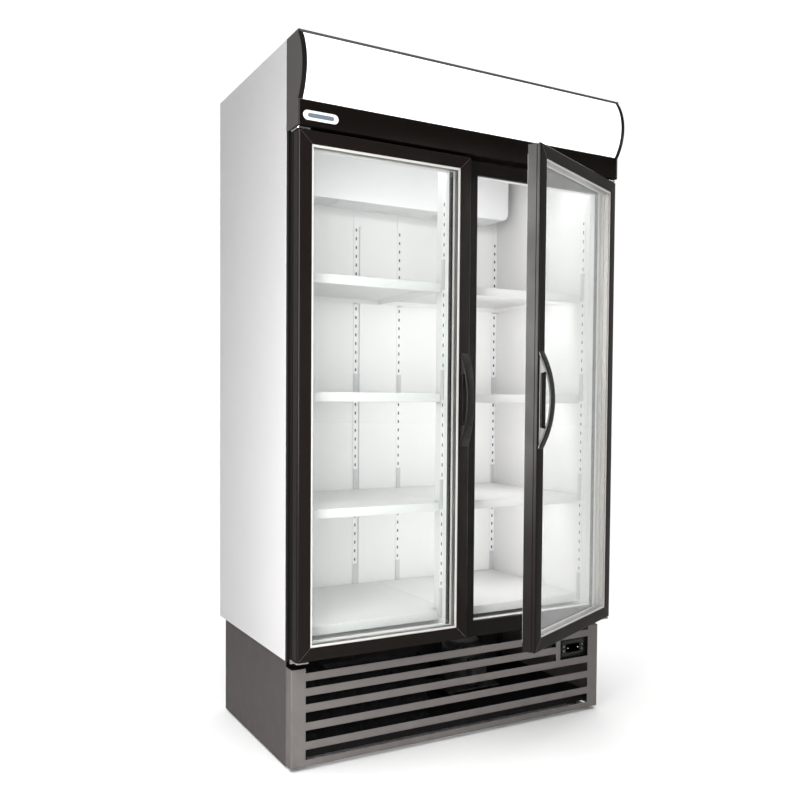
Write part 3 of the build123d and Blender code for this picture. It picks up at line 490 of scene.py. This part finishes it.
def arc(centre, radius, first, last, steps):
    """Points on an arc in a plane of two coordinates, angles in degrees."""
    for step in range(steps + 1):
        angle = math.radians(first + (last - first) * step / steps)
        yield centre[0] + radius * math.cos(angle), centre[1] + radius * math.sin(angle)


# ---- doors ----
door_low, door_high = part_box("door_left_frame")
pane_low, pane_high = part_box("door_left_glass")
gasket_low, gasket_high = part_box("door_left_gasket")
handle_low, handle_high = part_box("door_left_handle")
rest_angle = -math.radians(joint_of["door_right_hinge"]["range_deg"][0])
right_hinge = Vector(joint_of["door_right_hinge"]["pos_m"])
door_face = 0.038
door_body = 0.030
door_lip = 0.004
door_wall = 0.004
front_round = 0.004
groove = (0.010, 0.014, 0.002)
sight_inset = 0.045
seal_proud = 0.0015
mitre_gap = 0.0004
door_depth = door_high.y - door_low.y


def hang_on(side, shape):
    """Takes a shape modelled on the closed left door to the door asked for, as it stands at rest."""
    if side == "right":
        bmesh.ops.scale(shape, vec=(-1, 1, 1), verts=shape.verts)
        bmesh.ops.reverse_faces(shape, faces=shape.faces)
        turn = Matrix.Rotation(rest_angle, 3, "Z")
        bmesh.ops.rotate(shape, cent=right_hinge, matrix=turn, verts=shape.verts)
    return shape


def mitred_ring(profile):
    """Four bars round the closed left door, mitred at 45 degrees; profile points are (inset, depth)."""
    shape = bmesh.new()
    x = (door_low.x, door_high.x)
    z = (door_low.z, door_high.z)
    corners = [(0, 0), (1, 0), (1, 1), (0, 1)]
    for start, end in zip(corners, corners[1:] + corners[:1]):
        along = Vector((end[0] - start[0], 0, end[1] - start[1]))
        bars = []
        for corner, away in ((start, 1), (end, -1)):
            into = Vector((1 - 2 * corner[0], 0, 1 - 2 * corner[1]))
            place = Vector((x[corner[0]], door_low.y, z[corner[1]])) + along * away * mitre_gap
            bars.append([place + into * inset + Vector((0, depth, 0)) for inset, depth in profile])
        first = [shape.verts.new(point) for point in bars[0]]
        pushed = bmesh.ops.extrude_face_region(shape, geom=[shape.faces.new(first)], use_keep_orig=True)
        far = [item for item in pushed["geom"] if isinstance(item, bmesh.types.BMVert)]
        for vert in far:
            nearest = min(range(len(profile)), key=lambda i: (bars[0][i] - vert.co).length)
            vert.co = bars[1][nearest]
    bmesh.ops.recalc_face_normals(shape, faces=shape.faces)
    return shape


def frame_profile():
    """Section of the door's bars: a face with a rounded outer edge, a side groove and a rear pocket."""
    corner = list(arc((front_round, front_round), front_round, -90, -180, 6))
    side = [(0, groove[0]), (groove[2], groove[0]), (groove[2], groove[1]), (0, groove[1]), (0, door_depth)]
    pocket = [(door_wall, door_depth), (door_wall, 0.008), (door_body - door_wall, 0.008)]
    inner = [(door_body - door_wall, door_depth), (door_body, door_depth), (door_body, door_lip)]
    return [(door_face, 0), *corner, *side, *pocket, *inner, (door_face, door_lip)]


def seal_profiles():
    """Sections of the white strips: a soft bead in front of the pane, a sloped one behind, a back cover."""
    bead_y = pane_low.y - door_low.y
    rear_y = pane_high.y - door_low.y
    front = [(door_face, bead_y - seal_proud), (door_face, bead_y), (sight_inset, bead_y)]
    front += [(sight_inset - 0.001, bead_y - seal_proud * 0.7), (door_face + 0.002, bead_y - seal_proud)]
    rear = [(door_body, rear_y), (door_body, door_depth), (sight_inset - 0.006, door_depth)]
    rear += [(sight_inset - 0.001, door_depth - 0.005), (sight_inset, door_depth - 0.008)]
    rear += [(sight_inset, rear_y)]
    cover = [(door_wall, door_depth - 0.002), (door_wall, door_depth)]
    cover += [(door_body - door_wall, door_depth), (door_body - door_wall, door_depth - 0.002)]
    return front, rear, cover


def gasket_profile():
    """Section of the magnetic gasket: a narrow foot, a fold and a rounded magnet tube."""
    inset = gasket_low.x - door_low.x
    wide = 0.014
    foot, back = gasket_low.y - door_low.y, gasket_high.y - door_low.y
    deep = back - foot
    tube = 0.0025
    left = [(inset + 0.003, foot), (inset + 0.003, foot + deep * 0.2), (inset, foot + deep * 0.34)]
    left += [(inset + 0.002, foot + deep * 0.46), (inset, foot + deep * 0.58)]
    low_bend = list(arc((inset + tube, back - tube), tube, 180, 90, 4))
    high_bend = list(arc((inset + wide - tube, back - tube), tube, 90, 0, 4))
    right = [(inset + wide - (x - inset), y) for x, y in reversed(left)]
    return left + low_bend + high_bend + right


# ---- bow handle ----
handle_middle = (handle_low + handle_high) / 2
handle_half = (handle_high.z - handle_low.z) / 2
handle_reach = handle_high.y - handle_low.y
handle_width = handle_high.x - handle_low.x
bow_radius = (handle_half**2 + handle_reach**2) / (2 * handle_reach)
bow_centre_y = handle_low.y + bow_radius
bow_thick = 0.0085
bow_waist = 0.76
bow_steps = 36
section_steps = 20
plate_thick = 0.004
plate_margin = 0.003
pad_thick = 0.010
wedge_start = 0.084
wedge_steps = 8
wedge_share = 0.40
wedge_foot = 0.006


def add_bow(shape):
    """The curved grip: a soft oval section spun round the bow's centre, wider towards its ends."""
    half_angle = math.asin(handle_half / bow_radius) * 0.985
    crown_y = bow_centre_y - bow_radius + bow_thick / 2
    section = []
    for step in range(section_steps):
        angle = math.tau * step / section_steps
        across = math.copysign(abs(math.cos(angle)) ** 0.25, math.cos(angle)) * handle_width / 2
        deep = math.copysign(abs(math.sin(angle)) ** 0.4, math.sin(angle)) * bow_thick / 2
        section.append((handle_middle.x + across, crown_y + deep, handle_middle.z))
    first = shape.faces.new([shape.verts.new(point) for point in section])
    centre = (handle_middle.x, bow_centre_y, handle_middle.z)
    turned = Matrix.Rotation(-half_angle, 3, "X")
    bmesh.ops.rotate(shape, cent=centre, matrix=turned, verts=first.verts)
    bmesh.ops.spin(shape, geom=[first, *first.edges, *first.verts], cent=centre, axis=(1, 0, 0),
                   angle=2 * half_angle, steps=bow_steps, use_merge=False, use_duplicate=False)
    for vert in shape.verts:
        share = abs(vert.co.z - handle_middle.z) / handle_half
        waist = bow_waist + (1 - bow_waist) * share**2
        vert.co.x = handle_middle.x + (vert.co.x - handle_middle.x) * waist


def add_wedge(shape, towards):
    """The solid end between the bow and the door, a little narrower than the bow."""
    inner = bow_radius - bow_thick * 0.5
    start = math.asin(wedge_start / inner)
    stop = math.acos((bow_centre_y - handle_high.y + 0.001) / inner)
    outline = []
    half_width = handle_width * wedge_share
    for step in range(wedge_steps + 1):
        angle = start + (stop - start) * step / wedge_steps
        outline.append((handle_middle.x - half_width, bow_centre_y - inner * math.cos(angle),
                        handle_middle.z + towards * inner * math.sin(angle)))
    foot_z = handle_middle.z + towards * (wedge_start - wedge_foot)
    outline.append((handle_middle.x - half_width, handle_high.y, outline[-1][2]))
    outline.append((handle_middle.x - half_width, handle_high.y, foot_z))
    add_prism(shape, outline, Vector((2 * half_width, 0, 0)))


satin = moulding("handle_satin", (0.007, 0.006, 0.0055), (0.009, 0.008, 0.007), 0.22, 0.3, height=0.05,
                 gloss=0.4)


def make_handle(side):
    """Bow, end wedges with their plate, and the finger pad behind the bow."""
    grip = bmesh.new()
    add_bow(grip)
    bmesh.ops.recalc_face_normals(grip, faces=grip.faces)
    node = f"door_{side}_handle"
    finish_piece(f"{node}_bow", hang_on(side, grip), f"door_{side}", "handle_black", [node], look=satin)
    mount = bmesh.new()
    for towards in (-1, 1):
        add_wedge(mount, towards)
    inset = Vector((plate_margin, 0, plate_margin * 2))
    low = Vector((handle_low.x, handle_high.y - plate_thick, handle_low.z)) + inset
    add_block(mount, low, handle_high - inset)
    bmesh.ops.recalc_face_normals(mount, faces=mount.faces)
    finish_piece(f"{node}_mount", hang_on(side, mount), f"door_{side}", "handle_black", edge=0.0012, steps=3,
                 look=satin)
    pad = bmesh.new()
    half = Vector((handle_width * bow_waist / 2 - 0.001, 0, wedge_start - 0.002))
    front = Vector((handle_middle.x, handle_high.y - pad_thick, handle_middle.z))
    back = Vector((handle_middle.x, handle_high.y, handle_middle.z))
    add_block(pad, front - half, back + half)
    finish_piece(f"{node}_pad", hang_on(side, pad), f"door_{side}", "handle_black", edge=0.003, steps=4)


# painted highlight: lighter metal for the thin light lines along the door mitres
mitre_highlight_metal = metal("mitre_highlight_metal", (0.42, 0.38, 0.36), (0.34, 0.31, 0.29), 0.35, 0.5, patches=400.0)


def mitre_seams():
    """Thin strips of lighter metal filling the mitres on the closed left door's face: a painted highlight for the
    light lines the mitres catch.
    """
    shape = bmesh.new()
    span = door_face - front_round
    for x, turn_x in ((door_low.x, 1), (door_high.x, -1)):
        for z, turn_z in ((door_low.z, 1), (door_high.z, -1)):
            far = (span * math.sqrt(2), door_low.y + 0.001, mitre_gap)
            verts = add_block(shape, (0, door_low.y + 0.0001, -mitre_gap), far)
            angle = -math.atan2(turn_z, turn_x)
            bmesh.ops.rotate(shape, cent=(0, 0, 0), matrix=Matrix.Rotation(angle, 3, "Y"), verts=verts)
            corner = Vector((x + turn_x * front_round, 0, z + turn_z * front_round))
            bmesh.ops.translate(shape, vec=corner, verts=verts)
    return shape


def make_doors():
    for side in ("left", "right"):
        body = f"door_{side}"
        bars = hang_on(side, mitred_ring(frame_profile()))
        finish_piece(f"{body}_frame_bars", bars, body, "door_black", [f"{body}_frame"], edge=0.0006)
        for name, profile in zip(("front_bead", "rear_bead", "back_cover"), seal_profiles()):
            strip = hang_on(side, mitred_ring(profile))
            finish_piece(f"{body}_{name}", strip, body, "trim_white", [f"{body}_glazing_trim"], edge=0.0003)
        seams = hang_on(side, mitre_seams())
        finish_piece(f"{body}_mitre_seams", seams, body, "door_black", look=mitre_highlight_metal)
        bellows = hang_on(side, mitred_ring(gasket_profile()))
        finish_piece(f"{body}_gasket_tube", bellows, body, "gasket_white", [f"{body}_gasket"])
        make_handle(side)


make_doors()

# ---- folded sheet pieces with rounded edges ----
sheet_edge = 0.0006
for node in ("side_panel_left", "side_panel_right", "header_fascia", "evaporator_cover", "mullion_post",
             "front_grille", "control_panel"):
    rounded_copy(node, sheet_edge)
for node in [name for name in frame["nodes"] if name.startswith(("shelf_left_", "shelf_right_"))]:
    rounded_copy(node, sheet_edge)
# painted shade: the base tray is near black instead of galvanised grey, standing in for the shade inside the base
# seen through the grille
tray_painted_shade = paint("tray_painted_shade", (0.012, 0.011, 0.011), (0.018, 0.016, 0.016), 0.6, 0.7, gloss=0.1)
rounded_copy("base_tray", 0.0004, look=tray_painted_shade)
# painted highlight: the header housing is a lighter grey than the black header, standing in for the light its top
# rim catches from above
brow_painted_highlight = paint("brow_painted_highlight", (0.06, 0.055, 0.052), (0.07, 0.065, 0.061), 0.4, 0.5, height=0.08, gloss=0.3)
rounded_copy("header_housing", sheet_edge, look=brow_painted_highlight)

# ---- curved rims of the sign's end caps ----
lens_low, lens_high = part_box("header_lens")
rim_steps = 20
rim_wide = 0.013
rim_proud = 0.0015
rim_depth = 0.0045


def make_cap_rims():
    """Two curved bands that hold the ends of the sign's lens."""
    caps_low, caps_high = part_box("header_end_caps")
    chord = lens_high.z - lens_low.z
    front_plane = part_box("header_fascia")[0].y
    bulge = front_plane - lens_low.y
    radius = (chord**2 / 4 + bulge**2) / (2 * bulge)
    centre = (lens_low.y + radius, (lens_low.z + lens_high.z) / 2)
    swing = math.degrees(math.asin(chord / 2 / radius))
    outer = list(arc(centre, radius + rim_proud, 180 - swing, 180 + swing, rim_steps))
    inner = list(arc(centre, radius + rim_proud - rim_depth, 180 - swing, 180 + swing, rim_steps))
    outline = outer + inner[::-1]
    rims = bmesh.new()
    for x, inwards in ((caps_low.x, 1), (caps_high.x, -1)):
        add_prism(rims, [(x, y, z) for y, z in outline], Vector((inwards * rim_wide, 0, 0)))
    bmesh.ops.recalc_face_normals(rims, faces=rims.faces)
    finish_piece("header_cap_rims", rims, "cabinet", "frame_black", edge=0.0006)


make_cap_rims()


# ---- painted shade: dark strips behind the slots of the shelf uprights ----
slot_wide = 0.0055
side_share, side_shift = 0.45, 0.03
back_share, back_shift = 0.38, 0.1
end_gap = 0.002


def loose_boxes(node):
    """The corners of the box of every loose piece of a CAD node."""
    shape = bmesh.new()
    shape.from_mesh(frame["nodes"][node].data)
    bmesh.ops.remove_doubles(shape, verts=shape.verts, dist=0.00001)
    left = set(shape.verts)
    while left:
        found = [left.pop()]
        for vert in found:
            near = {edge.other_vert(vert) for edge in vert.link_edges} & left
            left -= near
            found.extend(near)
        low = Vector(min(vert.co[axis] for vert in found) for axis in range(3))
        high = Vector(max(vert.co[axis] for vert in found) for axis in range(3))
        yield low, high
    shape.free()


def make_painted_slot_shade():
    """A dark strip sunk in every upright, seen only through its slots: painted shade for the shade inside the
    uprights' channels.
    """
    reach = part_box("shelf_left_1")
    bay_middle = abs(reach[0].x + reach[1].x) / 2
    shade_strips = bmesh.new()
    for low, high in loose_boxes("shelf_uprights"):
        middle = (low + high) / 2
        sheet = min(high.x - low.x, high.y - low.y)
        if high.x - low.x < high.y - low.y:
            outwards = 1 if abs(middle.x) > bay_middle else -1
            half = Vector((sheet * side_share, slot_wide / 2, (high.z - low.z) / 2 - end_gap))
            middle.x += math.copysign(sheet * side_shift, middle.x) * outwards
        else:
            half = Vector((slot_wide / 2, sheet * back_share, (high.z - low.z) / 2 - end_gap))
            middle.y += sheet * back_shift
        add_block(shade_strips, middle - half, middle + half)
    # painted shade: a near-black look that stands in for the shade inside the slots
    dark = moulding("slot_shade", (0.012, 0.012, 0.012), (0.02, 0.02, 0.02), 0.7, 0.9, gloss=0.1)
    finish_piece("upright_painted_slot_shade", shade_strips, "cabinet", "upright_white", look=dark)


make_painted_slot_shade()

# ---- badge ----
badge_low, badge_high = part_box("badge")
plate_sunk = 0.0004
bar_inset = Vector((0.014, 0, 0.0075))


def slot_outline(low, high, y):
    """A shape with straight long sides and round ends."""
    radius = (high.z - low.z) / 2
    middle = (low.z + high.z) / 2
    points = list(arc((low.x + radius, middle), radius, 90, 270, 16))
    points += list(arc((high.x - radius, middle), radius, -90, 90, 16))
    return [(x, y, z) for x, z in points]


def make_badge():
    """A plain plate with round ends, and a plain bar across it that stands a little proud."""
    plate = bmesh.new()
    depth = badge_high.y - badge_low.y - plate_sunk
    add_prism(plate, slot_outline(badge_low, badge_high, badge_high.y), Vector((0, -depth, 0)))
    bmesh.ops.recalc_face_normals(plate, faces=plate.faces)
    finish_piece("badge_plate", plate, "cabinet", "badge_white", ["badge"], edge=0.0007, steps=3)
    stripe_look = moulding("badge_stripe", (0.12, 0.15, 0.18), (0.14, 0.175, 0.21), 0.2, 0.3, height=0.02)
    stripe = bmesh.new()
    outline = slot_outline(badge_low + bar_inset, badge_high - bar_inset, badge_low.y + plate_sunk)
    add_prism(stripe, outline, Vector((0, -plate_sunk, 0)))
    bmesh.ops.recalc_face_normals(stripe, faces=stripe.faces)
    finish_piece("badge_bar", stripe, "cabinet", "badge_white", look=stripe_look)


make_badge()

# ---- controller face ----
panel_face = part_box("control_panel")[0].y
first_button_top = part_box("control_button_1")[1]
last_button_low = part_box("control_button_4")[0]
window_gap = 0.008
window_over = 0.002
rim_edge = 0.002
light_radius = 0.0014
light_height = 0.0006
light_shares = (0.12, 0.88)


def make_controller_face():
    """A dark glossy display block between the buttons, and two indicator lights."""
    left, right = first_button_top.x + window_gap, last_button_low.x - window_gap
    low, high = last_button_low.z - window_over, first_button_top.z + window_over
    rim = bmesh.new()
    add_block(rim, (left - rim_edge, panel_face, low - rim_edge),
              (right + rim_edge, panel_face + rim_edge, high + rim_edge))
    finish_piece("display_rim", rim, "cabinet", "controller_black", edge=0.0008, steps=3)
    lamps = bmesh.new()
    for share in light_shares:
        place = Vector((left + (right - left) * share, panel_face, (low + high) / 2))
        add_rod(lamps, place, place + Vector((0, -light_height, 0)), light_radius, 12)
    lamp_look = glowing("indicator_light", 0.8, (0.8, 0.8, 0.75), 50.0)
    finish_piece("indicator_lights", lamps, "cabinet", "button_grey", look=lamp_look)


make_controller_face()


# ---- floor, lights and surroundings ----
floor_radius = 45
mirrored_floor = (0.28, 0.28, 0.28, 1)
dark_heading = math.radians(15)
bay_lamp_drop = 0.19
bay_lamp_share, bay_lamp_deep = 0.9, 0.03
shelf_lamp_share, shelf_lamp_deep = 0.7, 0.04
bay_powers = {"left": 0.5, "right": 1.1}
bay_aim = Vector((0, 0.5, -0.9))
shelf_powers = {"left": (0.26, (0, 0.5, -0.9)), "right": (1.1, (0, 0.95, -0.3))}


def make_floor():
    """A pale floor to the camera, darker in reflections so that black faces stay black."""
    shape = bmesh.new()
    bmesh.ops.create_circle(shape, cap_ends=True, segments=96, radius=floor_radius)
    mesh = bpy.data.meshes.new("floor")
    shape.to_mesh(mesh)
    shape.free()
    floor = bpy.data.objects.new("floor", mesh)
    bpy.context.scene.collection.objects.link(floor)
    look = paint("floor_pale", (0.9, 0.9, 0.9), (0.89, 0.89, 0.89), 0.7, 0.8, height=0.0)
    tree = look.node_tree
    shader = tree.nodes["Principled BSDF"]
    bright = shader.inputs["Base Color"].links[0].from_socket
    path = add_node(tree, "ShaderNodeLightPath")
    glossy, through = path.outputs["Is Glossy Ray"], path.outputs["Is Transmission Ray"]
    mirrored = calculate(tree, "GREATER_THAN", glossy, through)
    colour = mix_colours(tree, mirrored, bright, mirrored_floor)
    tree.links.new(colour, shader.inputs["Base Color"])
    mesh.materials.append(look)


def soft_light(name, place, target, size, power, seen=True, falls=True):
    """A rectangular lamp; seen in reflections, and falling on matt surfaces, only if asked to."""
    data = bpy.data.lights.new(name, "AREA")
    data.shape = "RECTANGLE"
    data.size, data.size_y = size
    data.energy = power
    light = bpy.data.objects.new(name, data)
    bpy.context.scene.collection.objects.link(light)
    light.location = place
    light.rotation_mode = "QUATERNION"
    light.rotation_quaternion = (Vector(target) - Vector(place)).to_track_quat("-Z", "Y")
    light.visible_camera = False
    light.visible_glossy = seen
    light.visible_diffuse = falls
    light.visible_transmission = False


def make_world():
    """White to the camera; dimmer and slightly uneven as a source of light and of reflections."""
    world = bpy.data.worlds.new("studio")
    world.use_nodes = True
    bpy.context.scene.world = world
    tree = world.node_tree
    tree.nodes.clear()
    seen = add_node(tree, "ShaderNodeBackground", sockets={"Color": (1, 1, 1, 1), "Strength": 1.05})
    lit = add_node(tree, "ShaderNodeBackground", sockets={"Strength": 1.0})
    direction = add_node(tree, "ShaderNodeTexCoord").outputs["Generated"]
    dot = add_node(tree, "ShaderNodeVectorMath", operation="DOT_PRODUCT")
    tree.links.new(direction, dot.inputs[0])
    dot.inputs[1].default_value = (math.sin(dark_heading), -math.cos(dark_heading), 0)
    level = remap(tree, dot.outputs["Value"], 0.0, 0.85, 0.4, 0.12)
    tint = mix_colours(tree, level, (0, 0, 0, 1), (1.0, 0.99, 0.98, 1))
    tree.links.new(tint, lit.inputs["Color"])
    path = add_node(tree, "ShaderNodeLightPath")
    blend = add_node(tree, "ShaderNodeMixShader")
    both = calculate(tree, "MAXIMUM", path.outputs["Is Camera Ray"], path.outputs["Is Transmission Ray"])
    tree.links.new(both, blend.inputs[0])
    tree.links.new(lit.outputs["Background"], blend.inputs[1])
    tree.links.new(seen.outputs["Background"], blend.inputs[2])
    output = tree.nodes.new("ShaderNodeOutputWorld")
    tree.links.new(blend.outputs["Shader"], output.inputs["Surface"])


def make_lights():
    """Studio lamps, a broad sky, and the lamps inside the cabinet."""
    middle = (cad_low + cad_high) / 2
    soft_light("key_left", (-1.15, -1.1, 1.1), (-0.58, -0.1, 1.1), (0.4, 2.0), 23, seen=False)
    soft_light("front_fill", (-0.6, -4.2, 1.5), (0, 0, 1.1), (2.0, 2.0), 30, seen=False)
    soft_light("left_box", (-3.5, -0.1, 1.8), (0, -0.1, 1.8), (1.4, 2.4), 240, falls=False)
    soft_light("front_box", (2.3, -2.9, 1.7), (-0.05, 0, 1.5), (0.5, 0.9), 28, falls=False)
    soft_light("right_box", (3.2, -2.2, 1.6), middle, (0.8, 2.6), 9)
    sky = bpy.data.lights.new("overhead", "SUN")
    sky.energy = 2.75
    sky.angle = math.radians(70)
    above = bpy.data.objects.new("overhead", sky)
    bpy.context.scene.collection.objects.link(above)
    above.location = (0, 0, 6)
    above.visible_glossy = False
    back_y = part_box("front_frame")[1].y
    for side in ("left", "right"):
        low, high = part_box(f"shelf_{side}_4")
        x = (low.x + high.x) / 2
        wide = high.x - low.x
        place = Vector((x, back_y + 0.045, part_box("inner_liner")[1].z - bay_lamp_drop))
        size = (wide * bay_lamp_share, bay_lamp_deep)
        soft_light(f"bay_lamp_{side}", place, place + bay_aim, size, bay_powers[side], seen=False)
        power, aim = shelf_powers[side]
        for row in (1, 2, 3):
            shelf_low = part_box(f"shelf_{side}_{row + 1}")[0]
            spot = Vector((x, back_y + 0.08, shelf_low.z - 0.01))
            size = (wide * shelf_lamp_share, shelf_lamp_deep)
            soft_light(f"shelf_lamp_{side}_{row}", spot, spot + Vector(aim), size, power, seen=False)


make_floor()
make_world()
make_lights()
bpy.context.scene.view_settings.view_transform = "Standard"
